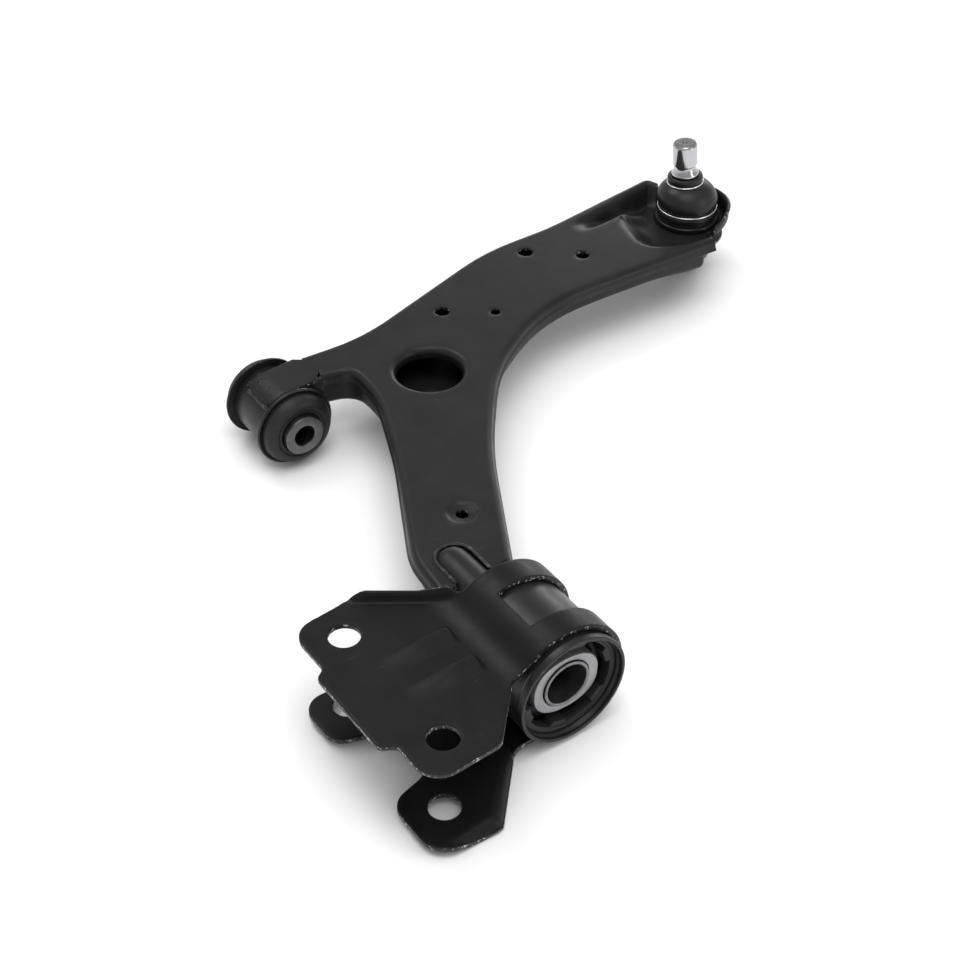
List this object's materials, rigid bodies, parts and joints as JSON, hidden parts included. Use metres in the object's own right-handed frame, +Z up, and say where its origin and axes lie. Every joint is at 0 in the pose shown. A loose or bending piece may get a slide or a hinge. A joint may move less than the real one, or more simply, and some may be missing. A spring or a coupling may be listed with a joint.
{
  "type": "suspension control arm",
  "caption": "L-shaped pressed-steel lower control arm with a flanged front bush, a rear bush in a bolt-on bracket and a ball joint with a plain stud.",
  "frame": {"origin": "centre of the bounding box in plan, on the level surface the arm lies on", "axes": "+X along the bush axes towards the rear bush, +Y from the bushes to the ball joint, +Z up along the upright ball stud"},
  "size_m": [0.4117, 0.504, 0.1016],
  "materials": {
    "black_coat_upper": "semi-gloss black electrocoat",
    "black_coat_lower": "semi-gloss black electrocoat",
    "black_bracket": "semi-gloss black coat",
    "weld_bead": "coated weld",
    "pin_steel": "coated steel, darker bore",
    "core_metal": "matt as cast",
    "bush_rubber": "matt black",
    "can_coat": "satin black",
    "sleeve_steel": "dull grey",
    "stop_plastic": "matt black",
    "housing_coat": "gloss black",
    "seat_plastic": "plain",
    "stud_steel": "bright ground steel",
    "boot_rubber": "semi-matt black",
    "clip_steel": "bright spring wire"
  },
  "bodies": {
    "arm": {"upper_shell": "black_coat_upper", "lower_shell": "black_coat_lower", "front_eye_tube": "black_coat_upper", "eye_weld_front": "weld_bead", "eye_weld_lower": "weld_bead", "pin_weld_upper": "weld_bead", "pin_weld_lower": "weld_bead", "front_bush_can_near": "can_coat", "front_bush_can_far": "can_coat", "front_bush_rubber_near": "bush_rubber", "front_bush_rubber_far": "bush_rubber", "rear_pin": "pin_steel", "rear_bush_core": "core_metal", "rear_bush_rubber": "bush_rubber", "ball_housing": "housing_coat", "ball_seat": "seat_plastic", "housing_cover": "housing_coat", "boot_lower_clip": "clip_steel"},
    "front_sleeve": {"front_bush_sleeve": "sleeve_steel"},
    "rear_bracket": {"rear_bush_can": "can_coat", "rear_bush_stop_ring": "stop_plastic", "bracket_upper_plate": "black_bracket", "bracket_lower_plate": "black_bracket", "strap_weld_near": "weld_bead", "strap_weld_far": "weld_bead"},
    "boot_body": {"dust_boot": "boot_rubber"},
    "boot_top": {"boot_upper_clip": "clip_steel"},
    "stud": {"ball_stud": "stud_steel"}
  },
  "joints": [
    {"name": "front_bush_twist", "type": "hinge", "parent": "arm", "child": "front_sleeve", "pos_m": [-0.14623, -0.131, 0.0272], "axis": [1, 0, 0], "range_deg": [-20, 20], "stiffness_Nm_per_rad": 3},
    {"name": "rear_bush_twist", "type": "hinge", "parent": "arm", "child": "rear_bracket", "pos_m": [0.17427, -0.1325, 0.0382], "axis": [1, 0, 0], "range_deg": [-20, 20], "stiffness_Nm_per_rad": 40},
    {"name": "ball_tilt_x", "type": "hinge", "parent": "arm", "child": "boot_body", "pos_m": [-0.16173, 0.2215, 0.0322], "axis": [1, 0, 0], "range_deg": [-14, 14], "deforming": ["dust_boot"]},
    {"name": "ball_tilt_y", "type": "hinge", "parent": "boot_body", "child": "boot_top", "pos_m": [-0.16173, 0.2215, 0.0322], "axis": [0, 1, 0], "range_deg": [-14, 14], "deforming": ["dust_boot"]},
    {"name": "stud_spin", "type": "hinge", "parent": "boot_top", "child": "stud", "pos_m": [-0.16173, 0.2215, 0.0322], "axis": [-0.0665, -0.0361, 0.9971], "continuous": true}
  ]
}
